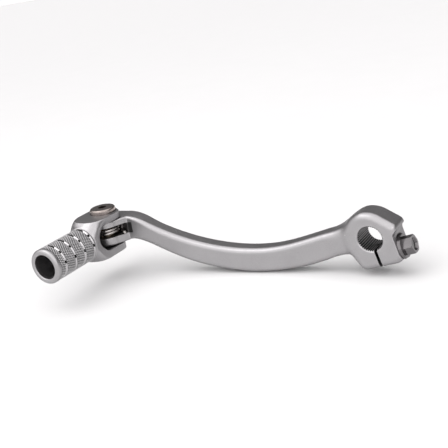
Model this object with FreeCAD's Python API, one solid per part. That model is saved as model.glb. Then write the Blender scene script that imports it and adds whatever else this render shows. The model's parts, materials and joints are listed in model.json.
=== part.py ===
import FreeCAD, Part
import math
import os

# Motorcycle gear shift lever, clamp hub on the shift shaft, folding toe tip.
# Frame, in millimetres: origin at the centre of the splined bore, +Y along the
# bore into the engine, +Z up and parallel to the fold pivot, toe end at -X.

V = FreeCAD.Vector

# --- splined bore and clamp hub ---------------------------------------------
HUB_WIDTH = 14.6            # along Y; the chamfers leave 13.15 mm of bore wall
HUB_R = 12.5                # round boss about the bore
HUB_SHIFT = -1.6            # boss centre, along the bolt axis from the bore
HUB_TILT = 16.0             # degrees, pinch bolt axis above +X
HUB_EDGE_R = 3.0            # rounded front and back rims
SPLINE_TIP_R = 5.60         # radius to the tooth lands
SPLINE_ROOT_R = 6.10
SPLINE_TEETH = 36
SPLINE_LAND = 4.4           # degrees of land on each tooth
SPLINE_FLOOR = 2.0          # degrees of flat between two teeth
BORE_CHAMFER = 0.45
SLOT_WIDTH = 1.4
SLOT_SHIFT = 0.45           # slot centre, towards the bolt head
LUG_ANGLE = 200.0           # where the left flank leaves the boss
LUG_FACE = 10.6             # machined spot face, along the bolt axis
SPOT_TOP = 0.2
LUG_BOTTOM = -14.6
CORNER_OUT = 13.2
BROW_ANGLE = 45.0           # where the brow leaves the boss
BROW_CORNER_R = 3.2
RIGHT_CORNER_R = 6.0
LEFT_CORNER_R = 5.0

# --- pinch bolt, M6 flange head ----------------------------------------------
BOLT_DROP = 8.85            # bolt axis below the bore axis, its hole nicks the bore
BOLT_R = 3.0
BOLT_CLEAR_R = 3.3
BOLT_TAP_R = 3.0
BOLT_LENGTH = 19.0
BOLT_TAP_START = -2.6
BOLT_TAP_END = -8.8
FLANGE_R = 5.9
FLANGE_T = 1.3
HEX_AF = 7.8
HEX_H = 4.6

# --- arm ------------------------------------------------------------------------
ARM_WIDTH = 10.0
ARM_YAW = 8.56              # degrees the arm swings outward, seen from above
ARM_ROOT_X = -14.0          # where the arm line crosses the bore plane
HUB_END_X = -17.0           # the hub's solid meets the arm's solid on this plane
# x station, height of the top line, height of the bottom line, extra width, edge radius
ARM_STATIONS = (
    (-4.0, 9.8, -9.6, 2.6, 2.5),
    (-10.5, 6.8, -9.9, 2.6, 2.5),
    (-15.0, 3.9, -10.3, 1.8, 2.5),
    (-22.0, 1.4, -12.0, 0.6, 2.5),
    (-32.0, -1.6, -15.1, 0.0, 2.5),
    (-45.0, -4.9, -17.6, 0.0, 2.5),
    (-60.0, -6.2, -18.6, 0.0, 2.5),
    (-75.0, -5.0, -17.1, 0.0, 2.5),
    (-91.0, -1.4, -13.4, 0.0, 2.5),
    (-106.0, 4.1, -7.2, 0.0, 2.5),
    (-116.0, 9.0, -2.4, 0.0, 2.2),
    (-122.0, 11.9, -0.3, 0.0, 1.6),
    (-126.0, 12.78, -0.08, 0.0, 1.1),
    (-130.0, 12.78, -0.08, 0.0, 1.0),
)

# --- fold pivot and arm eye -------------------------------------------------------
PIVOT_X = -136.2
PIVOT_Y = -25.3
EYE_R = 8.6
EYE_TOP = 12.8
EYE_BOTTOM = -0.1
EYE_BACK = 12.6             # back face of the eye block, from the pivot
EYE_HEEL = -6.7             # flank that meets the fold stop
EYE_EDGE_R = 1.0
EYE_INSET = 0.15            # block flank inside the round eye, so the two cross
HEEL_CORNER_R = 1.6
BLOCK_END_X = -127.5        # end of the eye block, inside the arm
BLOCK_END_BACK = -12.05
BLOCK_END_FRONT = -17.0
SHOULDER_X = -124.9         # front shoulder of the eye block
SHOULDER_Y = -21.65
FILLET_LIMIT_X = -124.0
RECESS_TOP = 9.6
RECESS_BOTTOM = 4.2
RECESS_WALL = 3.3           # rear wall of the spring recess, from the pivot
BUSH_OUT_R = 4.0
BUSH_IN_R = 3.04
SHANK_R = 3.0
SEAL_R = 5.6                # mean radius of the dust seals
SEAL_WIRE_R = 0.55
SEAL_GROOVE = 0.8

# --- toe piece ---------------------------------------------------------------------
PEG_X = PIVOT_X - 0.2
PEG_Z = 5.8
PEG_TIP_Y = -73.0
PEG_R = 8.8
PEG_BORE_R = 6.12
PEG_BORE_DEPTH = 25.0
PEG_RIM_R = 1.4
RING_Y = -45.4              # shoulder where the peg meets the fork
# y station, half width, half height, corner radius of the flare behind the peg
FLARE_STATIONS = (
    (RING_Y, 9.05, 9.05, 9.0),
    (RING_Y + 1.2, 9.1, 9.5, 8.6),
    (RING_Y + 3.2, 9.25, 11.0, 7.6),
    (RING_Y + 6.5, 9.3, 12.4, 5.6),
    (RING_Y + 11.0, 9.4, 13.0, 3.6),
    (RING_Y + 20.0, 9.5, 13.2, 2.4),
    (RING_Y + 34.0, 9.6, 13.2, 2.0),
)
GROOVE_FIRST = 0.75         # middle of the first groove, from the shoulder
GROOVE_PITCH = 7.0
GROOVE_COUNT = 4
GROOVE_W = 1.1
GROOVE_FLATS = 9            # flats that mill each groove
GROOVE_TURN = 5.0           # degrees, middle of the first flat
GROOVE_FLAT = 8.05          # distance of the groove flats from the peg axis
FORK_TOP = 16.6
FORK_BOTTOM = -4.0
FORK_HALF_W = 9.0
FORK_BACK = 8.3
SLANT_BACK = 0.8            # where the ears' slanted corner leaves the back edge
SLANT_SIDE = 2.9            # and where it meets the side
EAR_LEFT_R = 3.0
EAR_SLANT_R = 5.0
CHANNEL_TOP = 13.1
CHANNEL_BOTTOM = -0.4
CHANNEL_END = -15.4         # bottom of the rounded channel, from the pivot
STOP_IN = -7.0              # inner face of the stop lug
STOP_FROM = 5.9

# --- pivot bolt -----------------------------------------------------------------------
HEAD_R = 6.6
HEAD_H = 2.4
HEAD_FLAT_R = 5.6
SOCKET_AF = 4.0
SOCKET_DEPTH = 1.9
SOCKET_TURN = 20.0          # degrees
HEAD_RIM = 1.4              # upright rim under the rounded edge
HEAD_SWELL_R = 6.31         # a point of the rounded edge, part of the way up
HEAD_SWELL = 0.71

# --- torsion spring ----------------------------------------------------------------------
SPRING_WIRE_R = 0.75
SPRING_COIL_R = 6.4
SPRING_PITCH = 1.56
SPRING_START = 60.0         # degrees, where the lower leg leaves the coil
SPRING_END = 180.0          # where the upper leg leaves it, two turns further on
SPRING_LEG = 8.6            # lower leg, to the rear wall of the recess
SPRING_TAIL = 13.9          # upper leg, to the web of the toe piece


def export(shape, name):
    shape.exportStep("parts/" + name + ".step")


def cylinder(radius, height, base, axis):
    return Part.makeCylinder(radius, height, base, axis)


def prism(points, vector):
    """Straight-sided prism from a closed outline and an extrusion vector."""
    wire = Part.makePolygon(list(points) + [points[0]])
    return Part.Face(wire).extrude(vector)


def hexagon(across_flats, axial, vector, turn):
    """Hexagonal prism along X starting at x = axial."""
    radius = across_flats / math.sqrt(3.0)
    points = []
    for i in range(6):
        a = math.radians(60.0 * i + turn)
        points.append(V(axial, radius * math.cos(a), radius * math.sin(a)))
    return prism(points, vector)


def tilted(shape):
    """Turn a shape built along the bolt axis into the hub's frame."""
    shape.rotate(V(0, 0, 0), V(0, 1, 0), -HUB_TILT)
    return shape


def arm_y(x):
    return (x - ARM_ROOT_X) * math.tan(math.radians(ARM_YAW))


def rounded_section(centre, across, upward, width, height, radius):
    """Closed rounded-rectangle wire centred on a point of the arm's path."""
    w = width / 2.0
    h = height / 2.0
    k = radius * (1.0 - math.sqrt(0.5))

    def at(u, v):
        return centre + across * u + upward * v

    edges = []
    corners = ((1, 1), (-1, 1), (-1, -1), (1, -1))
    for i in range(4):
        su, sv = corners[i]
        nu, nv = corners[(i + 1) % 4]
        if i % 2 == 0:
            start = at(su * w, sv * (h - radius))
            end = at(su * (w - radius), sv * h)
            line_end = at(nu * (w - radius), nv * h)
        else:
            start = at(su * (w - radius), sv * h)
            end = at(su * w, sv * (h - radius))
            line_end = at(nu * w, nv * (h - radius))
        middle = at(su * (w - k), sv * (h - k))
        edges.append(Part.Arc(start, middle, end).toShape())
        edges.append(Part.LineSegment(end, line_end).toShape())
    return Part.Wire(edges)


def build_arm_bar():
    """Curved bar of rounded rectangular section from the hub to the eye."""
    yaw = math.radians(ARM_YAW)
    across = V(-math.sin(yaw), math.cos(yaw), 0)
    centres = []
    for x, top, bottom, extra, edge in ARM_STATIONS:
        centres.append(V(x, arm_y(x), (top + bottom) / 2.0))
    wires = []
    last = len(centres) - 1
    for i, (x, top, bottom, extra, edge) in enumerate(ARM_STATIONS):
        before = centres[max(i - 1, 0)]
        after = centres[min(i + 1, last)]
        along = after - before
        along.normalize()
        upward = across.cross(along)
        upward.normalize()
        if upward.z < 0:
            upward = upward * -1.0
        height = (top - bottom) * upward.z
        width = ARM_WIDTH + extra
        wires.append(rounded_section(centres[i], across, upward, width, height, edge))
    return Part.makeLoft(wires, True, False)


def rounded_corner(before, corner, after, radius):
    """Start, middle and end of the arc that rounds one corner of an outline."""
    to_before = before - corner
    to_after = after - corner
    to_before.normalize()
    to_after.normalize()
    half = to_before.getAngle(to_after) / 2.0
    reach = radius / math.tan(half)
    bisector = to_before + to_after
    bisector.normalize()
    centre = corner + bisector * (radius / math.sin(half))
    return corner + to_before * reach, centre - bisector * radius, corner + to_after * reach


def build_hub_blank():
    """Clamp boss with brow and lugs as one smooth outline, rims rounded."""
    y = -HUB_WIDTH / 2.0

    def on_boss(degrees):
        a = math.radians(degrees)
        return V(HUB_SHIFT + HUB_R * math.cos(a), y, HUB_R * math.sin(a))

    brow_start = on_boss(BROW_ANGLE)
    drop = CORNER_OUT - brow_start.x
    brow_corner = V(CORNER_OUT, y, brow_start.z - drop)
    toe_corner = V(CORNER_OUT, y, LUG_BOTTOM)
    left_end = on_boss(LUG_ANGLE)
    lean = math.radians(LUG_ANGLE - 180.0)
    left_corner = V(left_end.x + (left_end.z - LUG_BOTTOM) * math.tan(lean), y, LUG_BOTTOM)
    a1, a2, a3 = rounded_corner(brow_start, brow_corner, toe_corner, BROW_CORNER_R)
    b1, b2, b3 = rounded_corner(brow_corner, toe_corner, left_corner, RIGHT_CORNER_R)
    c1, c2, c3 = rounded_corner(toe_corner, left_corner, left_end, LEFT_CORNER_R)
    outline = Part.Wire([
        Part.Arc(left_end, on_boss((BROW_ANGLE + LUG_ANGLE) / 2.0), brow_start).toShape(),
        Part.LineSegment(brow_start, a1).toShape(),
        Part.Arc(a1, a2, a3).toShape(),
        Part.LineSegment(a3, b1).toShape(),
        Part.Arc(b1, b2, b3).toShape(),
        Part.LineSegment(b3, c1).toShape(),
        Part.Arc(c1, c2, c3).toShape(),
        Part.LineSegment(c3, left_end).toShape(),
    ])
    blank = Part.Face(outline).extrude(V(0, HUB_WIDTH, 0))
    rims = [e for e in blank.Edges if e.BoundBox.YLength < 1e-4]
    blank = blank.makeFillet(HUB_EDGE_R, rims)
    face = prism(
        (
            V(LUG_FACE, -20.0, LUG_BOTTOM - 5.0),
            V(LUG_FACE, -20.0, SPOT_TOP - 2.0),
            V(LUG_FACE + 0.4, -20.0, SPOT_TOP - 0.8),
            V(CORNER_OUT + 1.0, -20.0, SPOT_TOP + 1.6),
            V(CORNER_OUT + 1.0, -20.0, LUG_BOTTOM - 5.0),
        ),
        V(0, 40.0, 0),
    )
    return tilted(blank.cut(face))


def build_spline_cutter():
    """Serrated bore: teeth with narrow round lands, chamfered both ends."""
    pitch = 360.0 / SPLINE_TEETH
    flank = (pitch - SPLINE_LAND - SPLINE_FLOOR) / 2.0

    def at(degrees, radius):
        a = math.radians(degrees)
        return V(radius * math.cos(a), -HUB_WIDTH, radius * math.sin(a))

    edges = []
    for i in range(SPLINE_TEETH):
        start = i * pitch
        land_end = at(start + SPLINE_LAND, SPLINE_TIP_R)
        floor_start = at(start + SPLINE_LAND + flank, SPLINE_ROOT_R)
        floor_end = at(start + pitch - flank, SPLINE_ROOT_R)
        land = Part.Arc(at(start, SPLINE_TIP_R), at(start + SPLINE_LAND / 2.0, SPLINE_TIP_R), land_end)
        edges.append(land.toShape())
        edges.append(Part.LineSegment(land_end, floor_start).toShape())
        edges.append(Part.LineSegment(floor_start, floor_end).toShape())
        edges.append(Part.LineSegment(floor_end, at(start + pitch, SPLINE_TIP_R)).toShape())
    cutter = Part.Face(Part.Wire(edges)).extrude(V(0, 2.0 * HUB_WIDTH, 0))
    half = HUB_WIDTH / 2.0
    wide = SPLINE_ROOT_R + BORE_CHAMFER / 2.0
    narrow = SPLINE_TIP_R - 0.2
    length = wide + 1.0 - narrow
    front = Part.makeCone(wide + 1.0, narrow, length, V(0, -half - 1.0, 0), V(0, 1, 0))
    back = Part.makeCone(wide + 1.0, narrow, length, V(0, half + 1.0, 0), V(0, -1, 0))
    return cutter.fuse([front, back])


def build_hub_cuts():
    """Slot, bolt clearance hole, tapped hole and spot face of the clamp."""
    slot = Part.makeBox(SLOT_WIDTH, 2.0 * HUB_WIDTH, 20.0,
                        V(SLOT_SHIFT - SLOT_WIDTH / 2.0, -HUB_WIDTH, -20.0))
    hole = cylinder(BOLT_CLEAR_R, 24.0, V(BOLT_TAP_START, 0, -BOLT_DROP), V(1, 0, 0))
    tapped = cylinder(BOLT_TAP_R, -BOLT_TAP_END, V(BOLT_TAP_END, 0, -BOLT_DROP), V(1, 0, 0))
    spot = cylinder(FLANGE_R + 0.5, 8.0, V(LUG_FACE - 0.15, 0, -BOLT_DROP), V(1, 0, 0))
    return [tilted(s) for s in (slot, hole, tapped, spot)]


def tangent_point(centre, radius, point):
    """Point where a line from outside touches a circle, on its outward side."""
    dx = point.x - centre.x
    dy = point.y - centre.y
    distance = math.hypot(dx, dy)
    angle = math.atan2(dy, dx) - math.acos(radius / distance)
    return V(centre.x + radius * math.cos(angle), centre.y + radius * math.sin(angle), point.z)


def level_edges(shape, x_limit):
    """Edges of the top and bottom outlines that lie left of x_limit."""
    found = []
    for e in shape.Edges:
        if e.BoundBox.ZLength < 1e-4 and e.BoundBox.XMax < x_limit:
            found.append(e)
    return found


def build_eye_blank():
    """Round eye about the fold pivot with the block that carries it."""
    height = EYE_TOP - EYE_BOTTOM
    pivot = V(PIVOT_X, PIVOT_Y, EYE_BOTTOM)
    eye = cylinder(EYE_R, height, pivot, V(0, 0, 1))
    eye = eye.makeFillet(EYE_EDGE_R, [e for e in eye.Edges if e.BoundBox.ZLength < 1e-4])
    shoulder = V(SHOULDER_X, SHOULDER_Y, EYE_BOTTOM)
    heel_x = PIVOT_X + EYE_HEEL
    block = prism(
        (
            V(heel_x, PIVOT_Y, EYE_BOTTOM),
            V(heel_x, PIVOT_Y + EYE_BACK, EYE_BOTTOM),
            V(BLOCK_END_X, BLOCK_END_BACK, EYE_BOTTOM),
            V(BLOCK_END_X, BLOCK_END_FRONT, EYE_BOTTOM),
            shoulder,
            tangent_point(pivot, EYE_R - EYE_INSET, shoulder),
            pivot,
        ),
        V(0, 0, height),
    )
    corner = [e for e in block.Edges
              if abs(e.CenterOfMass.x - heel_x) < 0.01
              and abs(e.CenterOfMass.y - PIVOT_Y - EYE_BACK) < 0.01]
    block = block.makeFillet(HEEL_CORNER_R, corner)
    block = block.makeFillet(EYE_EDGE_R, level_edges(block, FILLET_LIMIT_X))
    return eye.fuse(block)


def build_eye_cuts():
    """Spring recess, bushing bores and the two seal grooves of the eye."""
    recess = Part.makeBox(60.0, 60.0, RECESS_TOP - RECESS_BOTTOM,
                          V(PIVOT_X - 30.0, PIVOT_Y + RECESS_WALL - 60.0, RECESS_BOTTOM))
    keep = cylinder(26.0, 20.0, V(PIVOT_X, PIVOT_Y, -5.0), V(0, 0, 1))
    recess = recess.common(keep)
    pocket = cylinder(SPRING_COIL_R + SPRING_WIRE_R + 0.4, RECESS_TOP - RECESS_BOTTOM,
                      V(PIVOT_X, PIVOT_Y, RECESS_BOTTOM), V(0, 0, 1))
    bore = cylinder(BUSH_OUT_R, 40.0, V(PIVOT_X, PIVOT_Y, -10.0), V(0, 0, 1))
    cuts = [recess, pocket, bore, build_leg_room()]
    for level in (EYE_TOP - SEAL_GROOVE, EYE_BOTTOM):
        outer = cylinder(SEAL_R + 0.75, SEAL_GROOVE, V(PIVOT_X, PIVOT_Y, level), V(0, 0, 1))
        inner = cylinder(SEAL_R - 0.75, SEAL_GROOVE, V(PIVOT_X, PIVOT_Y, level), V(0, 0, 1))
        cuts.append(outer.cut(inner))
    return cuts


def largest(shape):
    return max(shape.Solids, key=lambda s: s.Volume)


def build_forging():
    """Clamp hub and arm, one forging, as two solids that share a plane."""
    body = build_hub_blank().fuse([build_arm_bar(), build_eye_blank()])
    body = largest(body.cut([build_spline_cutter()] + build_hub_cuts() + build_eye_cuts()))
    size = 400.0
    hub_side = Part.makeBox(size, size, size, V(HUB_END_X, -size / 2.0, -size / 2.0))
    return largest(body.common(hub_side)), largest(body.cut(hub_side))


def build_fork_dome():
    """Flare from the round peg shoulder to the tall, flat-sided fork."""
    wires = []
    for y, half_w, half_h, radius in FLARE_STATIONS:
        centre = V(PEG_X, y, PEG_Z)
        wires.append(rounded_section(centre, V(1, 0, 0), V(0, 0, 1), 2.0 * half_w,
                                     2.0 * half_h, radius))
    return Part.makeLoft(wires, True, False)


def build_fork():
    """Two ears joined by a domed web, cut by a round-bottomed channel."""
    height = FORK_TOP - FORK_BOTTOM
    end_y = PIVOT_Y + FORK_BACK
    left = PEG_X - FORK_HALF_W
    right = PEG_X + FORK_HALF_W
    slant_x = PIVOT_X + SLANT_BACK
    slant_y = PIVOT_Y + SLANT_SIDE
    box = prism(
        (
            V(left, RING_Y, FORK_BOTTOM),
            V(left, end_y, FORK_BOTTOM),
            V(slant_x, end_y, FORK_BOTTOM),
            V(right, slant_y, FORK_BOTTOM),
            V(right, RING_Y, FORK_BOTTOM),
        ),
        V(0, 0, height),
    )
    for x, y, radius in ((left, end_y, EAR_LEFT_R), (slant_x, end_y, EAR_SLANT_R),
                         (right, slant_y, EAR_SLANT_R)):
        corner = [e for e in box.Edges
                  if e.BoundBox.ZLength > height - 0.1
                  and abs(e.CenterOfMass.x - x) < 0.01 and abs(e.CenterOfMass.y - y) < 0.01]
        box = box.makeFillet(radius, corner)
    block = box.common(build_fork_dome())
    middle = (CHANNEL_TOP + CHANNEL_BOTTOM) / 2.0
    radius = (CHANNEL_TOP - CHANNEL_BOTTOM) / 2.0
    start = PIVOT_Y + CHANNEL_END + radius
    box_cut = Part.makeBox(40.0, 40.0, 2.0 * radius,
                           V(PEG_X - 20.0, start, CHANNEL_BOTTOM))
    round_cut = cylinder(radius, 40.0, V(PEG_X - 20.0, start, middle), V(1, 0, 0))
    channel = box_cut.fuse(round_cut)
    stop = Part.makeBox(FORK_HALF_W + STOP_IN, FORK_BACK - STOP_FROM, 2.0 * radius,
                        V(PEG_X - FORK_HALF_W, PIVOT_Y + STOP_FROM, CHANNEL_BOTTOM))
    stop = stop.common(block)
    return block.cut(channel).fuse(stop)


def build_peg():
    """Hollow round peg with four ring grooves milled as short flats."""
    length = RING_Y - PEG_TIP_Y + 0.5
    peg = cylinder(PEG_R, length, V(PEG_X, PEG_TIP_Y, PEG_Z), V(0, 1, 0))
    rim = [e for e in peg.Edges if abs(e.CenterOfMass.y - PEG_TIP_Y) < 0.01
           and e.BoundBox.XLength > PEG_R]
    peg = peg.makeFillet(PEG_RIM_R, rim)
    for i in range(GROOVE_COUNT):
        centre = RING_Y - GROOVE_FIRST - i * GROOVE_PITCH
        ring = cylinder(PEG_R + 2.0, GROOVE_W, V(PEG_X, centre - GROOVE_W / 2.0, PEG_Z), V(0, 1, 0))
        half = math.pi / GROOVE_FLATS
        radius = GROOVE_FLAT / math.cos(half)
        points = []
        for k in range(GROOVE_FLATS):
            a = math.radians(GROOVE_TURN) + (2 * k + 1) * half
            points.append(V(PEG_X + radius * math.cos(a), centre - GROOVE_W / 2.0,
                            PEG_Z + radius * math.sin(a)))
        core = prism(points, V(0, GROOVE_W, 0))
        peg = peg.cut(ring.cut(core))
    return peg


def build_toe_piece():
    body = build_fork().fuse(build_peg()).removeSplitter()
    bore = cylinder(PEG_BORE_R, PEG_BORE_DEPTH, V(PEG_X, PEG_TIP_Y, PEG_Z), V(0, 1, 0))
    lead = Part.makeCone(PEG_BORE_R + 0.6, PEG_BORE_R, 0.6, V(PEG_X, PEG_TIP_Y, PEG_Z), V(0, 1, 0))
    upper = cylinder(SHANK_R + 0.05, 10.0, V(PIVOT_X, PIVOT_Y, CHANNEL_TOP - 1.0), V(0, 0, 1))
    lower = cylinder(SHANK_R, 10.0, V(PIVOT_X, PIVOT_Y, CHANNEL_BOTTOM + 1.0), V(0, 0, -1))
    return largest(body.cut([bore, lead, upper, lower]))


def build_pivot_bolt():
    """Flat-head shoulder bolt on the fold pivot, hexagon socket in the head."""
    shank = cylinder(SHANK_R, FORK_TOP - FORK_BOTTOM - 0.3,
                     V(PIVOT_X, PIVOT_Y, FORK_BOTTOM + 0.3), V(0, 0, 1))

    def at(out, rise):
        return V(PIVOT_X + out, PIVOT_Y, FORK_TOP + rise)

    swell = HEAD_RIM + (HEAD_H - HEAD_RIM) * HEAD_SWELL
    outline = Part.Wire([
        Part.LineSegment(at(0, 0), at(HEAD_R, 0)).toShape(),
        Part.LineSegment(at(HEAD_R, 0), at(HEAD_R, HEAD_RIM)).toShape(),
        Part.Arc(at(HEAD_R, HEAD_RIM), at(HEAD_SWELL_R, swell), at(HEAD_FLAT_R, HEAD_H)).toShape(),
        Part.LineSegment(at(HEAD_FLAT_R, HEAD_H), at(0, HEAD_H)).toShape(),
        Part.LineSegment(at(0, HEAD_H), at(0, 0)).toShape(),
    ])
    head = Part.Face(outline).revolve(V(PIVOT_X, PIVOT_Y, 0), V(0, 0, 1), 360)
    radius = SOCKET_AF / math.sqrt(3.0)
    points = []
    for i in range(6):
        a = math.radians(60.0 * i + SOCKET_TURN)
        points.append(V(PIVOT_X + radius * math.cos(a), PIVOT_Y + radius * math.sin(a),
                        FORK_TOP + HEAD_H - SOCKET_DEPTH))
    socket = prism(points, V(0, 0, 5.0))
    return shank.fuse(head).removeSplitter().cut(socket)


def build_bushing():
    length = EYE_TOP - EYE_BOTTOM
    outer = cylinder(BUSH_OUT_R, length, V(PIVOT_X, PIVOT_Y, EYE_BOTTOM), V(0, 0, 1))
    inner = cylinder(BUSH_IN_R, length, V(PIVOT_X, PIVOT_Y, EYE_BOTTOM), V(0, 0, 1))
    return outer.cut(inner)


def build_seal(level):
    return Part.makeTorus(SEAL_R, SEAL_WIRE_R, V(PIVOT_X, PIVOT_Y, level), V(0, 0, 1))


def spring_point(degrees, level):
    a = math.radians(degrees)
    return V(PIVOT_X + SPRING_COIL_R * math.cos(a), PIVOT_Y + SPRING_COIL_R * math.sin(a), level)


def spring_leg_points():
    """Ends of the lower leg, level with the first coil."""
    a = math.radians(SPRING_START)
    start = spring_point(SPRING_START, RECESS_BOTTOM + SPRING_WIRE_R + 0.15)
    return start, start + V(math.sin(a), -math.cos(a), 0) * SPRING_LEG


def build_leg_room():
    """Groove that lets the spring's lower leg past the rear wall."""
    start, end = spring_leg_points()
    return cylinder(SPRING_WIRE_R + 0.15, SPRING_LEG + 0.3, start, end - start)


def build_torsion_spring():
    """Coil about the bushing with a leg to the arm and a leg to the toe piece."""
    start, leg_end = spring_leg_points()
    steps = 28
    sweep = 720.0 + SPRING_END - SPRING_START
    path = [leg_end, leg_end + (start - leg_end) * 0.5]
    for i in range(steps + 1):
        turned = sweep * i / steps
        path.append(spring_point(SPRING_START + turned, start.z + SPRING_PITCH * turned / 360.0))
    path.append(path[-1] + V(0, -SPRING_TAIL / 2.0, 0))
    path.append(path[-1] + V(0, -SPRING_TAIL / 2.0, 0))
    curve = Part.BSplineCurve()
    curve.interpolate(path)
    profile = Part.Wire(Part.makeCircle(SPRING_WIRE_R, leg_end, start - leg_end))
    return Part.Wire(curve.toShape()).makePipeShell([profile], True, False)


def build_pinch_bolt():
    """M6 flange bolt: dished hexagon head, flange and shank."""
    flange = Part.makeCone(FLANGE_R, FLANGE_R - 0.5, FLANGE_T, V(LUG_FACE - 0.15, 0, 0), V(1, 0, 0))
    start = LUG_FACE - 0.15 + FLANGE_T - 0.4
    hexhead = hexagon(HEX_AF, start, V(HEX_H + 0.4, 0, 0), 0.0)
    cap = Part.makeCone(6.4, 3.7, 2.7, V(start + HEX_H + 0.4 - 2.2, 0, 0), V(1, 0, 0))
    stub = cylinder(6.4, HEX_H - 1.8, V(start, 0, 0), V(1, 0, 0))
    hexhead = hexhead.common(stub.fuse(cap))
    dish = Part.makeCone(2.2, 3.1, 0.9, V(start + HEX_H - 0.5, 0, 0), V(1, 0, 0))
    shank = cylinder(BOLT_R, BOLT_LENGTH, V(LUG_FACE - 0.15 - BOLT_LENGTH, 0, 0), V(1, 0, 0))
    tip = Part.makeCone(2.3, 3.2, 0.9, V(LUG_FACE - 0.15 - BOLT_LENGTH, 0, 0), V(1, 0, 0))
    rest = cylinder(3.2, 40.0, V(LUG_FACE + 0.75 - BOLT_LENGTH, 0, 0), V(1, 0, 0))
    shank = shank.common(tip.fuse(rest))
    bolt = shank.fuse([flange, hexhead]).cut(dish)
    bolt.translate(V(0, 0, -BOLT_DROP))
    return tilted(bolt)


def main():
    os.makedirs("parts", exist_ok=True)
    hub, arm = build_forging()
    export(hub, "clamp_hub")
    export(arm, "lever_arm")
    export(build_toe_piece(), "toe_piece")
    export(build_pivot_bolt(), "pivot_bolt")
    export(build_bushing(), "pivot_bushing")
    export(build_seal(EYE_TOP - SEAL_WIRE_R + 0.1), "upper_dust_seal")
    export(build_seal(EYE_BOTTOM + SEAL_WIRE_R - 0.1), "lower_dust_seal")
    export(build_torsion_spring(), "torsion_spring")
    export(build_pinch_bolt(), "pinch_bolt")


main()
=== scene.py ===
import bmesh
import bpy
import json
import math
import numpy as np
from mathutils import Matrix, Vector


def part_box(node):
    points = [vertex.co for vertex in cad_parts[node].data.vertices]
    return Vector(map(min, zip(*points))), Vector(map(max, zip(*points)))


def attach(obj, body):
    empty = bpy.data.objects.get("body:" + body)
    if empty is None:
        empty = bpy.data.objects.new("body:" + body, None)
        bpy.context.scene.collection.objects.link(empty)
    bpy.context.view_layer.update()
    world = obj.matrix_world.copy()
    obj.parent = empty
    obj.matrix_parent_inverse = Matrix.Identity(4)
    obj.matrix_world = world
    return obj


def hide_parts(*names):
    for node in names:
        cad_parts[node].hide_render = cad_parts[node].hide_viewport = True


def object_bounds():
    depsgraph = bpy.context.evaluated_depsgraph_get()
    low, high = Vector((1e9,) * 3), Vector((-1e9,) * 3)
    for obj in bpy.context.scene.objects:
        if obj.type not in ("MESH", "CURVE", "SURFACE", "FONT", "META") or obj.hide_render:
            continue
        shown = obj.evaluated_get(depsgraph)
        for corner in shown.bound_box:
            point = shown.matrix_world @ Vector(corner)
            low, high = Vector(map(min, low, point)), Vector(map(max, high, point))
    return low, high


# Folding-tip gear shift lever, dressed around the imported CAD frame. Metres.
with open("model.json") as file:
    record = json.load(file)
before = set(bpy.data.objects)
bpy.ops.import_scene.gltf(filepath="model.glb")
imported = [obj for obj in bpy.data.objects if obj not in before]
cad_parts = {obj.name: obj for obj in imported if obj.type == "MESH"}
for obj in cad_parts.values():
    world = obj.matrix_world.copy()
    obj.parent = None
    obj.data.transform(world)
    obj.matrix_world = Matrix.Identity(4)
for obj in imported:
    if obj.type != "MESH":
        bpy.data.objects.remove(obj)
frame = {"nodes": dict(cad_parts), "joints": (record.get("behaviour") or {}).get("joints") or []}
cad_low, cad_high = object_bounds()
MM = 0.001

# --- places taken from the frame ----------------------------------------------
pivot = Vector(frame["joints"][0]["pos_m"])
TIP_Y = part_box("toe_piece")[0].y
SPRING_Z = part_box("torsion_spring")[0].z
SEAM_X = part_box("clamp_hub")[0].x   # plane where the hub's solid meets the arm's

# --- peg ------------------------------------------------------------------------
PEG_X = pivot.x - 0.2 * MM
PEG_Z = 5.8 * MM
SHOULDER_Y = TIP_Y + 27.6 * MM      # where the peg meets the fork
PEG_R = 8.8 * MM
BORE_R = 6.12 * MM
BORE_DEPTH = 25.0 * MM
RIM_R = 1.4 * MM                    # rounded front rim
KNURL_START = TIP_Y + 2.1 * MM
KNURL_TEETH = 56                    # starts of each helix
KNURL_PITCH = 1.66 * MM             # along the peg
KNURL_DEPTH = 0.38 * MM
KNURL_FLAT = 0.22                   # share of each diamond left as its flat top
RING_COUNT = 4
RING_PITCH = 7.0 * MM
RING_FIRST = SHOULDER_Y - 0.75 * MM
RING_DEPTH = 0.55 * MM
POCKET_DEPTH = 1.1 * MM
POCKETS = ((5, 9), (43, 8), (83, 28), (124, 8), (163, 8), (202, 8))   # degrees, width
PEG_SIDES = 504
LIP_R = 0.55 * MM                   # rounded mouth of the bore
KNURL_STEPS = 8.0                   # stations along one knurl pitch
KNURL_RISE = 0.6 * MM               # over which the knurl grows from the plain rim
KNURL_SHADE = 0.5                   # painted shade value at the knurl's deepest
RING_CLEAR = 0.72 * MM              # half width that the ring's own stations fill
RING_STATIONS = (-0.6, -0.5, -0.42, -0.3, -0.15, 0.0, 0.1, 0.22, 0.36, 0.5, 0.62, 0.7)   # mm
RING_PROFILE_AT = (-0.55, -0.45, 0.05, 0.60)    # mm from the ring's middle
RING_PROFILE = (0.0, 1.0, 1.0, 0.0)             # share of the ring's depth there
PLAIN = 0.25                        # painted shade value of smooth skin
RING_SHADE = 0.10                   # painted shade value of a ring's floor

# --- places on the CAD solids, in millimetres ------------------------------------
RECESS_LOW = 4.2
RECESS_HIGH = 9.6
RECESS_WALL = 3.3                   # rear wall of the spring recess, from the pivot
CHANNEL_LOW = -0.4
CHANNEL_HIGH = 13.1
FORK_HALF_W = 9.0
HUB_TILT = 16.0                     # degrees
SLOT_SHIFT = 0.45
LUG_FACE = 10.6
BOLT_DROP = 8.85

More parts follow.
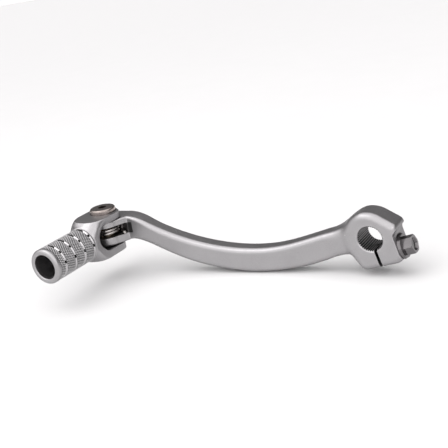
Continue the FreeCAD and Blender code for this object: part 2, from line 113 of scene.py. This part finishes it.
# --- softened stretches, in millimetres: where each fades in, where it fades out ---
VOXEL = 0.2 * MM
ARM_EDGE_ROUNDS = 3
BORE_KEEP_R = (6.6, 7.0)            # the bore inside this stays crisp
ROOT_IN_X = (-24.0, -16.5)          # where the arm runs into the hub
ROOT_OUT_X = (-9.0, -4.0)
ROOT_R = (8.0, 10.0)
ROOT_ROUNDS = 700
ELBOW_IN_X = (-131.0, -127.5)       # where the arm runs into the eye
ELBOW_OUT_X = (-123.0, -117.0)
ELBOW_ROUNDS = 24
FORK_EDGE_ROUNDS = 5
WEB_OUT_Y = (-37.0, -32.5)          # the fork's web, above its lower outline
WEB_IN_X = (-139.0, -133.0)
WEB_IN_Z = (2.0, 7.0)
WEB_OUT_Z = (14.8, 16.3)
WEB_ROUNDS = 380

# --- painted shade, in millimetres: where each stretch fades in, where it fades out ---
RECESS_MOUTH_R = (5.8, 8.4)         # darkest about the coil, lighter at the lips
RECESS_OUTER_R = 8.8                # dark again past the round eye
BORE_GAP_R = (5.62, 5.9)            # from the tooth lands into the gaps
BORE_LAND = 0.25                    # painted shade left on the lands
BORE_OUT_R = (6.2, 6.6)
BORE_IN_Y = (-7.2, -6.5)            # no painted shade at the hub's front face
SLOT_HALF = 0.85
SLOT_TOP = -6.0                     # along the slot, from the bore's axis
SLOT_IN_Y = (-7.2, -6.2)
SEAT_OUT_R = (6.1, 6.7)             # round the pinch bolt's flange
CHANNEL_IN_Y = (-41.0, -40.4)
CHANNEL_SIDE = (0.15, 2.2)          # in from the fork's flanks
HEAD_OUT_R = (6.6, 7.1)             # round the pivot bolt's head

# --- spring wire ------------------------------------------------------------------
WIRE_R = 0.75 * MM
COIL_R = 6.4 * MM
COIL_PITCH = 1.56 * MM
COIL_START = 60.0                   # degrees
COIL_END = 180.0
COIL_TURNS = 2
LEG = 8.6 * MM
TAIL = 13.9 * MM
FOLLOW = 66.0                       # degrees of the last turn that follow the toe piece
TAIL_SHARE = 0.985                  # tail's wire against the coil's, which it lies over
WIRE_SIDES = 18
WIRE_DOME = 0.12                    # rise of a cut end, in wire radii
WIRE_END = 0.8                      # and its width

# --- floor and camera ------------------------------------------------------------
FLOOR_GAP = 0.4 * MM
FLOOR_HALF = 60.0
CAMERA_AT = Vector((0.12144, -0.30776, 0.12506))
CAMERA_RIGHT = Vector((0.85353514, 0.49602156, -0.15950039))
CAMERA_UP = Vector((-0.03079674, 0.35361462, 0.93488409))
CAMERA_LENS = 61.07
SENSOR = 36.0

# --- studio ------------------------------------------------------------------------
CEILING = 1.75
CEILING_LEAN = (0.0, -0.6, 1.0)     # the bright ceiling reaches lower towards -Y
WALL_BACK = 0.20
WALL_FRONT = 0.62
HORIZON = 1.05
CEILING_FADE = (0.28, 0.62)         # along CEILING_LEAN
FRONT_FADE = (0.15, -0.45)          # along Y
HORIZON_FADE = (0.03, 0.01)         # along Z
WORLD_TINT = (1.0, 0.985, 0.99, 1.0)
LIGHT_AIM = Vector((-0.07, -0.02, 0.0))
# name, place, size, watts
LIGHTS = (
    ("key", (-0.32, -0.32, 0.62), (0.55, 0.40), 1.1),
    ("side", (0.60, -0.45, 0.40), (0.4, 0.4), 0.5),
)

# --- colours ----------------------------------------------------------------------
ALUMINIUM_DULL = (0.355, 0.347, 0.354)
ALUMINIUM_CLEAN = (0.405, 0.396, 0.404)
ALUMINIUM_WORN = (0.52, 0.512, 0.518)
SPRING_TONE = (0.36, 0.34, 0.33)
PIVOT_TONE = (0.30, 0.262, 0.245)
PINCH_TONE = (0.14, 0.134, 0.137)
BRONZE_TONE = (0.30, 0.24, 0.18)
KNURL_GAIN = 2.0                    # the knurled skin is brighter, its pits painted far darker as shade
# painted shade: colour multiplier for each stored shade value, on plain skin and on the knurl
SKIN_PAINTED_SHADE = ((0.0, 1.0), (1.0, 0.16))
KNURL_PAINTED_SHADE = ((0.0, 1.0), (0.25, 0.50), (0.5, 0.07), (1.0, 0.015))


# ==== mesh helpers ================================================================
def link(obj):
    bpy.context.scene.collection.objects.link(obj)
    return obj


def new_piece(name, vertices, faces):
    mesh = bpy.data.meshes.new(name)
    mesh.from_pydata([tuple(v) for v in vertices], [], faces)
    mesh.validate()
    return link(bpy.data.objects.new(name, mesh))


def shade_smooth(obj, angle=None):
    obj.data.polygons.foreach_set("use_smooth", [True] * len(obj.data.polygons))
    if angle is not None:
        obj.data.set_sharp_from_angle(angle=math.radians(angle))


def bake_modifiers(obj):
    """Turns the object's modifiers into plain mesh."""
    graph = bpy.context.evaluated_depsgraph_get()
    mesh = bpy.data.meshes.new_from_object(obj.evaluated_get(graph))
    obj.modifiers.clear()
    obj.data = mesh


def closed_copy(nodes, name, keep_above_y=None, seam_x=None):
    """A welded copy of CAD nodes, opened where they share a plane, cut square at one Y."""
    bm = bmesh.new()
    for node in nodes:
        bm.from_mesh(frame["nodes"][node].data)
    if seam_x is not None:
        caps = [f for f in bm.faces if all(abs(v.co.x - seam_x) < 1e-6 for v in f.verts)]
        bmesh.ops.delete(bm, geom=caps, context="FACES")
    bmesh.ops.remove_doubles(bm, verts=bm.verts, dist=1e-6)
    if keep_above_y is not None:
        geometry = list(bm.verts) + list(bm.edges) + list(bm.faces)
        bmesh.ops.bisect_plane(bm, geom=geometry, plane_co=(0, keep_above_y, 0),
                               plane_no=(0, -1, 0), clear_outer=True)
        rim = [e for e in bm.edges if e.is_boundary]
        bmesh.ops.contextual_create(bm, geom=rim)
    mesh = bpy.data.meshes.new(name)
    bm.to_mesh(mesh)
    bm.free()
    return link(bpy.data.objects.new(name, mesh))


def coordinates(obj):
    co = np.empty(len(obj.data.vertices) * 3)
    obj.data.vertices.foreach_get("co", co)
    return co.reshape(-1, 3)


def ramp01(value, low, high):
    t = np.clip((value - low) / (high - low), 0.0, 1.0)
    return t * t * (3.0 - 2.0 * t)


def fade_out(value, full, gone):
    """One below full, falling smoothly to nought at gone."""
    return ramp01(-value, -gone, -full)


def soften(obj, weights, rounds):
    """Relaxes the surface where the weights are high, as a forging's blends are."""
    group = obj.vertex_groups.new(name="relax")
    for level in range(1, 11):
        chosen = np.nonzero(np.round(weights * 10) == level)[0]
        if len(chosen):
            group.add(chosen.tolist(), level / 10.0, "REPLACE")
    smooth = obj.modifiers.new("relax", "SMOOTH")
    smooth.factor = 0.5
    smooth.iterations = rounds
    smooth.vertex_group = group.name
    bake_modifiers(obj)
    obj.vertex_groups.clear()


def even_skin(obj, target, voxel):
    """Even small quads over the whole solid, drawn back onto the CAD surface."""
    remesh = obj.modifiers.new("even", "REMESH")
    remesh.mode = "VOXEL"
    remesh.voxel_size = voxel
    remesh.use_smooth_shade = True
    bake_modifiers(obj)
    wrap = obj.modifiers.new("wrap", "SHRINKWRAP")
    wrap.target = target
    wrap.wrap_method = "NEAREST_SURFACEPOINT"
    bake_modifiers(obj)


def keep_shade(obj, name, values):
    """Stores one painted shade value a vertex, which the material reads back."""
    layer = obj.data.attributes.new(name, "FLOAT", "POINT")
    layer.data.foreach_set("value", np.asarray(values, dtype=np.float32))


def arm_painted_shade(obj):
    """Painted shade at each point: spring recess, bore, clamp slot, under the flange."""
    x, y, z = (coordinates(obj) / MM).T
    from_pivot = np.hypot(x - pivot.x / MM, y - pivot.y / MM)
    inside = ramp01(z, RECESS_LOW - 0.3, RECESS_LOW + 0.1)
    inside *= fade_out(z, RECESS_HIGH - 0.1, RECESS_HIGH + 0.3)
    recess = inside * (y < pivot.y / MM + RECESS_WALL + 0.6)
    recess *= np.maximum(fade_out(from_pivot, *RECESS_MOUTH_R), (from_pivot > RECESS_OUTER_R) * 1.0)
    from_bore = np.hypot(x, z)
    gap = BORE_LAND + (1.0 - BORE_LAND) * ramp01(from_bore, *BORE_GAP_R)
    bore = gap * fade_out(from_bore, *BORE_OUT_R) * ramp01(y, *BORE_IN_Y)
    tilt = math.radians(HUB_TILT)
    along = x * math.cos(tilt) + z * math.sin(tilt)
    down = z * math.cos(tilt) - x * math.sin(tilt)
    slot = (np.abs(along - SLOT_SHIFT) < SLOT_HALF) * (down < SLOT_TOP) * ramp01(y, *SLOT_IN_Y)
    seat = (along > LUG_FACE - 0.4) * fade_out(np.hypot(y, down + BOLT_DROP), *SEAT_OUT_R)
    return np.clip(recess + bore + slot + seat, 0.0, 1.0)


def fork_painted_shade(obj):
    """Painted shade at each point: inside the channel, round the bolt head."""
    x, y, z = (coordinates(obj) / MM).T
    inside = (z > CHANNEL_LOW - 0.1) * (z < CHANNEL_HIGH + 0.1) * ramp01(y, *CHANNEL_IN_Y)
    to_side = FORK_HALF_W - np.abs(x - PEG_X / MM)
    channel = inside * ramp01(to_side, *CHANNEL_SIDE)
    from_pivot = np.hypot(x - pivot.x / MM, y - pivot.y / MM)
    head = (z > CHANNEL_HIGH + 2.0) * fade_out(from_pivot, *HEAD_OUT_R)
    return np.clip(channel + head, 0.0, 1.0)


# ==== pieces =======================================================================
def make_lever_arm():
    """Arm and hub with blended roots and edges broken all round."""
    forging = ("clamp_hub", "lever_arm")
    arm = closed_copy(forging, "lever_arm_forging", seam_x=SEAM_X)
    target = closed_copy(forging, "forging_target", seam_x=SEAM_X)
    even_skin(arm, target, VOXEL)
    bpy.data.objects.remove(target)
    x, _, z = (coordinates(arm) / MM).T
    radius = np.hypot(x, z)
    soften(arm, ramp01(radius, *BORE_KEEP_R), ARM_EDGE_ROUNDS)
    root = ramp01(x, *ROOT_IN_X) * fade_out(x, *ROOT_OUT_X) * ramp01(radius, *ROOT_R)
    soften(arm, root, ROOT_ROUNDS)
    elbow = ramp01(x, *ELBOW_IN_X) * fade_out(x, *ELBOW_OUT_X)
    soften(arm, elbow, ELBOW_ROUNDS)
    # painted shade: darkens the spring recess, bore tooth gaps, clamp slot and the seat under the
    # flange
    keep_shade(arm, "painted_shade", arm_painted_shade(arm))
    shade_smooth(arm)
    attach(arm, "arm")
    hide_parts(*forging)
    return arm


def make_fork():
    """Fork as far as the peg's shoulder, its web blended into the ear."""
    fork = closed_copy(("toe_piece",), "toe_fork", keep_above_y=SHOULDER_Y)
    target = closed_copy(("toe_piece",), "fork_target", keep_above_y=SHOULDER_Y)
    even_skin(fork, target, VOXEL)
    bpy.data.objects.remove(target)
    x, y, z = (coordinates(fork) / MM).T
    soften(fork, np.full(len(x), 1.0), FORK_EDGE_ROUNDS)
    web = fade_out(y, *WEB_OUT_Y) * ramp01(x, *WEB_IN_X)
    web = web * fade_out(z, *WEB_OUT_Z) * ramp01(z, *WEB_IN_Z)
    soften(fork, web, WEB_ROUNDS)
    # painted shade: darkens the channel interior and the gap round the pivot bolt's head
    keep_shade(fork, "painted_shade", fork_painted_shade(fork))
    shade_smooth(fork)
    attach(fork, "toe")
    return fork


def knurl_depth(angle, y):
    """Depth of a diamond knurl: two sets of helical V grooves."""
    turns = angle * KNURL_TEETH / (2.0 * math.pi)
    along = y / KNURL_PITCH
    depth = 0.0
    for phase in (turns + along, turns - along):
        edge = abs(phase - math.floor(phase) - 0.5) * 2.0
        depth = max(depth, (edge - KNURL_FLAT) / (1.0 - KNURL_FLAT))
    return depth * KNURL_DEPTH


def ring_shape(offset):
    """Share of the groove's depth at a distance from its middle: steep, then sloped."""
    return float(np.interp(offset / MM, RING_PROFILE_AT, RING_PROFILE))


def pocket_share(angle):
    """How far this angle is inside one of the chip pockets of a ring groove."""
    degrees = math.degrees(angle) % 360.0
    share = 0.0
    for middle, width in POCKETS:
        distance = abs((degrees - middle + 180.0) % 360.0 - 180.0)
        share = max(share, min(1.0, max(0.0, (width / 2.0 + 1.0 - distance) / 1.5)))
    return share


def peg_stations():
    """Y stations of the peg's skin, closer together across each ring groove."""
    rings = [RING_FIRST - i * RING_PITCH for i in range(RING_COUNT)]
    ys = list(np.arange(KNURL_START, SHOULDER_Y + 0.5 * MM, KNURL_PITCH / KNURL_STEPS))
    for ring in rings:
        ys = [y for y in ys if abs(y - ring) > RING_CLEAR]
        ys += [ring + o * MM for o in RING_STATIONS]
    return sorted(y for y in ys if y < SHOULDER_Y + 0.5 * MM), rings


def make_peg():
    """Hollow knurled peg as one closed skin, from its bore round to its root."""
    ys, rings = peg_stations()
    profile = [(BORE_R * s, TIP_Y + BORE_DEPTH, None) for s in (0.02, 0.35, 0.7, 0.94)]
    profile.append((BORE_R - 0.05 * MM, TIP_Y + BORE_DEPTH - 0.1 * MM, None))
    for y in np.linspace(TIP_Y + BORE_DEPTH - 0.5 * MM, TIP_Y + 1.1 * MM, 34):
        profile.append((BORE_R, y, None))
    for k in range(7):
        a = math.radians(90.0 * k / 6.0)
        profile.append((BORE_R + LIP_R * (1 - math.cos(a)), TIP_Y + LIP_R * (1 - math.sin(a)), None))
    for k in range(13):
        a = math.radians(90.0 * k / 12.0)
        profile.append((PEG_R - RIM_R + RIM_R * math.sin(a), TIP_Y + RIM_R * (1 - math.cos(a)), None))
    for y in np.linspace(TIP_Y + RIM_R + 0.3 * MM, KNURL_START - 0.1 * MM, 5):
        profile.append((PEG_R, y, None))
    profile += [(PEG_R, y, y) for y in ys]
    profile += [(PEG_R * s, SHOULDER_Y + 0.6 * MM, None) for s in (0.9, 0.5, 0.02)]

    angles = np.arange(PEG_SIDES) * 2.0 * math.pi / PEG_SIDES
    pockets = [pocket_share(a) for a in angles]
    vertices, painted_shades = [], []
    for radius, y, skin in profile:
        ring = None
        groove = 0.0
        if skin is not None:
            ring = min(rings, key=lambda c: abs(c - skin))
            groove = ring_shape(skin - ring)
        for i, a in enumerate(angles):
            cut = 0.0
            painted_shade = PLAIN
            if skin is not None:
                near_ring = min(1.0, max(0.0, (abs(skin - ring) - 0.55 * MM) / (0.25 * MM)))
                start = min(1.0, (skin - KNURL_START) / KNURL_RISE)
                end = 1.0 if skin < RING_FIRST else 0.0
                milled = near_ring * start * end
                cut = knurl_depth(a, skin) * milled
                deep = RING_DEPTH + (POCKET_DEPTH - RING_DEPTH) * pockets[i]
                # painted shade: knurl valleys, ring floors and the chip pockets are darkened
                painted_shade += (cut / KNURL_DEPTH * KNURL_SHADE - PLAIN) * milled
                painted_shade += (RING_SHADE - painted_shade) * groove
                painted_shade += (1.0 - painted_shade) * pockets[i] * min(1.0, groove * 5.0)
                cut = max(cut, groove * deep)
            r = radius - cut
            vertices.append((PEG_X + r * math.cos(a), y, PEG_Z + r * math.sin(a)))
            painted_shades.append(painted_shade)
    faces = []
    rows = len(profile)
    for j in range(rows - 1):
        for i in range(PEG_SIDES):
            n = (i + 1) % PEG_SIDES
            faces.append((j * PEG_SIDES + i, (j + 1) * PEG_SIDES + i,
                          (j + 1) * PEG_SIDES + n, j * PEG_SIDES + n))
    faces.append(tuple(range(PEG_SIDES)))
    faces.append(tuple(reversed(range((rows - 1) * PEG_SIDES, rows * PEG_SIDES))))
    peg = new_piece("toe_peg_knurled", vertices, faces)
    # painted shade of the knurl pits, ring grooves and chip pockets
    keep_shade(peg, "painted_shade", painted_shades)
    shade_smooth(peg)
    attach(peg, "toe")
    return peg


def sweep(name, points, radius):
    """Round wire along a list of points, with slightly domed cut ends."""
    points = [Vector(p) for p in points]
    vertices, faces = [], []
    sides = WIRE_SIDES
    side = Vector((0, 0, 1))
    last = len(points) - 1
    rings = []
    for i, p in enumerate(points):
        along = (points[min(i + 1, last)] - points[max(i - 1, 0)]).normalized()
        side = (side - along * side.dot(along)).normalized()
        other = along.cross(side)
        rings.append((p, along, side.copy(), other))
    layers = []
    first, end = rings[0], rings[-1]
    layers.append((first[0] - first[1] * radius * WIRE_DOME, first, WIRE_END))
    layers += [(r[0], r, 1.0) for r in rings]
    layers.append((end[0] + end[1] * radius * WIRE_DOME, end, WIRE_END))
    for centre, (p, along, u, w), scale in layers:
        for k in range(sides):
            a = 2.0 * math.pi * k / sides
            vertices.append(centre + (u * math.cos(a) + w * math.sin(a)) * radius * scale)
    for j in range(len(layers) - 1):
        for k in range(sides):
            n = (k + 1) % sides
            faces.append((j * sides + k, j * sides + n, (j + 1) * sides + n, (j + 1) * sides + k))
    faces.append(tuple(reversed(range(sides))))
    faces.append(tuple(range((len(layers) - 1) * sides, len(layers) * sides)))
    wire = new_piece(name, vertices, faces)
    shade_smooth(wire, 60)
    return wire


def coil_point(degrees, turned, base_z):
    a = math.radians(degrees)
    return Vector((pivot.x + COIL_R * math.cos(a), pivot.y + COIL_R * math.sin(a),
                   base_z + COIL_PITCH * turned / 360.0))


def make_spring():
    """Coil and lower leg stay with the arm, upper leg and part of a turn go with the toe."""
    base_z = SPRING_Z + WIRE_R
    sweep_angle = 360.0 * COIL_TURNS + COIL_END - COIL_START
    a = math.radians(COIL_START)
    start = coil_point(COIL_START, 0.0, base_z)
    away = Vector((math.sin(a), -math.cos(a), 0))
    coil = [start + away * LEG * s for s in (1.0, 0.75, 0.5, 0.25)]
    coil += [coil_point(COIL_START + t, t, base_z) for t in np.linspace(0.0, sweep_angle, 150)]
    body = sweep("spring_coil", coil, WIRE_R)
    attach(body, "arm")
    first = sweep_angle - FOLLOW
    tail = [coil_point(COIL_START + t, t, base_z) for t in np.linspace(first, sweep_angle, 16)]
    tail += [tail[-1] + Vector((0, -TAIL * s, 0)) for s in (0.1, 0.4, 0.7, 1.0)]
    leg = sweep("spring_tail", tail, WIRE_R * TAIL_SHARE)
    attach(leg, "toe")
    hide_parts("torsion_spring")
    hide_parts("torsion_spring")
    return body, leg


# ==== materials ====================================================================
class Shader:
    """Small helper that adds nodes to one material and joins them."""

    def __init__(self, name):
        self.material = bpy.data.materials.new(name)
        self.material.use_nodes = True
        self.tree = self.material.node_tree
        self.skin = self.tree.nodes["Principled BSDF"]
        self.place = self.tree.nodes.new("ShaderNodeTexCoord").outputs["Object"]

    def join(self, source, target):
        self.tree.links.new(source, target)

    def noise(self, scale, detail=2.0, roughness=0.5, stretch=None):
        node = self.tree.nodes.new("ShaderNodeTexNoise")
        node.inputs["Scale"].default_value = scale
        node.inputs["Detail"].default_value = detail
        node.inputs["Roughness"].default_value = roughness
        place = self.place
        if stretch is not None:
            mapping = self.tree.nodes.new("ShaderNodeMapping")
            mapping.inputs["Scale"].default_value = stretch
            self.join(place, mapping.inputs["Vector"])
            place = mapping.outputs["Vector"]
        self.join(place, node.inputs["Vector"])
        return node.outputs["Fac"]

    def ramp(self, source, stops):
        node = self.tree.nodes.new("ShaderNodeValToRGB")
        elements = node.color_ramp.elements
        while len(elements) < len(stops):
            elements.new(0.5)
        for element, (at, colour) in zip(elements, stops):
            element.position = at
            if isinstance(colour, (int, float)):
                colour = (colour, colour, colour)
            element.color = (*colour, 1.0)
        self.join(source, node.inputs["Fac"])
        return node.outputs["Color"]

    def mix(self, kind, amount, first, second):
        node = self.tree.nodes.new("ShaderNodeMix")
        node.data_type = "RGBA"
        node.blend_type = kind
        factor, a, b = node.inputs[0], node.inputs[6], node.inputs[7]
        for socket, value in ((factor, amount), (a, first), (b, second)):
            if isinstance(value, bpy.types.NodeSocket):
                self.join(value, socket)
            elif socket is factor:
                socket.default_value = value
            else:
                socket.default_value = (*value, 1.0)
        return node.outputs[2]

    def edges(self):
        geometry = self.tree.nodes.new("ShaderNodeNewGeometry")
        return geometry.outputs["Pointiness"]

    def attribute(self, name):
        node = self.tree.nodes.new("ShaderNodeAttribute")
        node.attribute_name = name
        return node.outputs["Fac"]

    def bump(self, layers):
        normal = None
        for height, strength, distance in layers:
            node = self.tree.nodes.new("ShaderNodeBump")
            node.inputs["Strength"].default_value = strength
            node.inputs["Distance"].default_value = distance
            self.join(height, node.inputs["Height"])
            if normal is not None:
                self.join(normal, node.inputs["Normal"])
            normal = node.outputs["Normal"]
        self.join(normal, self.skin.inputs["Normal"])

    def finish(self, colour, roughness, metallic, tint=(1.0, 1.0, 1.0)):
        self.join(colour, self.skin.inputs["Base Color"])
        self.join(roughness, self.skin.inputs["Roughness"])
        self.skin.inputs["Metallic"].default_value = metallic
        self.skin.inputs["Specular Tint"].default_value = (*tint, 1.0)
        return self.material


def cast_aluminium(name, shade_stops, gain=1.0):
    """Bead-blasted aluminium: fine grain, cloudy tone, bright worn edges, painted shade in recesses
    and gaps.
    """
    s = Shader(name)
    cloud = s.noise(38.0, 4.0, 0.6)
    grain = s.noise(2300.0, 3.0, 0.65)
    beads = s.noise(900.0, 2.0, 0.5)
    dull = tuple(gain * c for c in ALUMINIUM_DULL)
    clean = tuple(gain * c for c in ALUMINIUM_CLEAN)
    colour = s.ramp(cloud, ((0.3, dull), (0.7, clean)))
    speck = s.ramp(grain, ((0.25, 0.90), (0.6, 1.0)))
    colour = s.mix("MULTIPLY", 1.0, colour, speck)
    worn = s.ramp(s.edges(), ((0.50, 0.0), (0.60, 1.0)))
    bright = tuple(min(0.95, gain * c) for c in ALUMINIUM_WORN)
    colour = s.mix("MIX", worn, colour, bright)
    # painted shade: the stored per-vertex value darkens recesses, gaps and knurl pits
    colour = s.mix("MULTIPLY", 1.0, colour, s.ramp(s.attribute("painted_shade"), shade_stops))
    roughness = s.ramp(beads, ((0.3, 0.34), (0.7, 0.43)))
    s.bump(((beads, 0.10, 0.00006), (grain, 0.16, 0.00003)))
    return s.finish(colour, roughness, 1.0, (0.6, 0.6, 0.6))


def polished_steel(name, tone, rough, streak):
    """Turned or rolled bright steel with faint tool marks and handling smears."""
    s = Shader(name)
    smear = s.noise(160.0, 3.0, 0.6)
    lines = s.noise(900.0, 2.0, 0.5, stretch=streak)
    low = tuple(c * 0.86 for c in tone)
    colour = s.ramp(smear, ((0.3, low), (0.7, tone)))
    worn = s.ramp(s.edges(), ((0.51, 0.0), (0.60, 1.0)))
    colour = s.mix("MIX", worn, colour, tuple(min(0.9, c * 1.7) for c in tone))
    roughness = s.ramp(smear, ((0.25, rough), (0.75, rough + 0.09)))
    s.bump(((lines, 0.08, 0.00002),))
    return s.finish(colour, roughness, 1.0)


def seal_rubber(name):
    s = Shader(name)
    fine = s.noise(1500.0, 3.0, 0.6)
    colour = s.ramp(fine, ((0.3, 0.018), (0.7, 0.035)))
    roughness = s.ramp(fine, ((0.3, 0.55), (0.7, 0.72)))
    s.bump(((fine, 0.2, 0.00004),))
    return s.finish(colour, roughness, 0.0)


def floor_white():
    s = Shader("floor_white")
    fine = s.noise(30.0, 2.0, 0.5)
    colour = s.ramp(fine, ((0.0, 0.71), (1.0, 0.73)))
    roughness = s.ramp(fine, ((0.0, 0.85), (1.0, 0.95)))
    return s.finish(colour, roughness, 0.0)


def paint(obj, material):
    obj.data.materials.clear()
    obj.data.materials.append(material)


# ==== studio =======================================================================
def make_floor():
    z = cad_low.z - FLOOR_GAP
    corners = [(x * FLOOR_HALF, y * FLOOR_HALF, z) for x, y in ((-1, -1), (1, -1), (1, 1), (-1, 1))]
    floor = new_piece("floor", corners, [(0, 1, 2, 3)])
    paint(floor, floor_white())


def make_light(name, place, size, watts):
    light = bpy.data.lights.new(name, "AREA")
    light.shape = "RECTANGLE"
    light.size, light.size_y = size
    light.energy = watts
    obj = link(bpy.data.objects.new(name, light))
    obj.location = place
    obj.rotation_euler = (LIGHT_AIM - Vector(place)).to_track_quat("-Z", "Y").to_euler()


def make_world():
    """Studio room: bright leaning ceiling, dim wall behind, lighter wall in front."""
    world = bpy.data.worlds.new("studio")
    bpy.context.scene.world = world
    world.use_nodes = True
    tree = world.node_tree
    place = tree.nodes.new("ShaderNodeTexCoord").outputs["Generated"]
    split = tree.nodes.new("ShaderNodeSeparateXYZ")
    tree.links.new(place, split.inputs[0])

    def level(output, fade, bright):
        node = tree.nodes.new("ShaderNodeMapRange")
        node.interpolation_type = "SMOOTHSTEP"
        tree.links.new(output, node.inputs["Value"])
        sockets = ("From Min", "From Max", "To Min", "To Max")
        for socket, value in zip(sockets, (*fade, WALL_BACK, bright)):
            node.inputs[socket].default_value = value
        return node.outputs["Result"]

    slope = tree.nodes.new("ShaderNodeVectorMath")
    slope.operation = "DOT_PRODUCT"
    tree.links.new(place, slope.inputs[0])
    slope.inputs[1].default_value = CEILING_LEAN
    ceiling = level(slope.outputs["Value"], CEILING_FADE, CEILING)
    front = level(split.outputs["Y"], FRONT_FADE, WALL_FRONT)
    horizon = level(split.outputs["Z"], HORIZON_FADE, HORIZON)

    def brighter(first, second):
        node = tree.nodes.new("ShaderNodeMath")
        node.operation = "MAXIMUM"
        tree.links.new(first, node.inputs[0])
        tree.links.new(second, node.inputs[1])
        return node.outputs[0]

    strength = brighter(brighter(ceiling, front), horizon)
    tree.links.new(strength, tree.nodes["Background"].inputs["Strength"])
    tree.nodes["Background"].inputs["Color"].default_value = WORLD_TINT


def make_camera():
    camera = bpy.data.objects.new("camera", bpy.data.cameras.new("camera"))
    link(camera)
    camera.data.lens = CAMERA_LENS
    camera.data.sensor_width = SENSOR
    camera.data.clip_start = 0.01
    back = CAMERA_RIGHT.cross(CAMERA_UP)
    turn = Matrix((CAMERA_RIGHT, CAMERA_UP, back)).transposed()
    camera.matrix_world = Matrix.Translation(CAMERA_AT) @ turn.to_4x4()
    bpy.context.scene.camera = camera


# ==== assembly =====================================================================
arm = make_lever_arm()
fork = make_fork()
peg = make_peg()
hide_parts("toe_piece")
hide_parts("toe_piece")
coil, tail = make_spring()

aluminium = cast_aluminium("cast_aluminium", SKIN_PAINTED_SHADE)
paint(arm, aluminium)
paint(fork, aluminium)
paint(peg, cast_aluminium("knurled_aluminium", KNURL_PAINTED_SHADE, KNURL_GAIN))
wire_steel = polished_steel("spring_steel", SPRING_TONE, 0.20, (1, 1, 6))
paint(coil, wire_steel)
paint(tail, wire_steel)
paint(frame["nodes"]["pivot_bolt"], polished_steel("polished_steel", PIVOT_TONE, 0.18, (1, 1, 1)))
paint(frame["nodes"]["pinch_bolt"], polished_steel("zinc_steel", PINCH_TONE, 0.12, (6, 1, 1)))
paint(frame["nodes"]["pivot_bushing"], polished_steel("bronze", BRONZE_TONE, 0.30, (1, 1, 8)))
for seal in ("upper_dust_seal", "lower_dust_seal"):
    paint(frame["nodes"][seal], seal_rubber(seal + "_rubber"))

make_floor()
make_world()
for name, place, size, watts in LIGHTS:
    make_light(name, place, size, watts)
make_camera()
bpy.context.scene.view_settings.view_transform = "Standard"
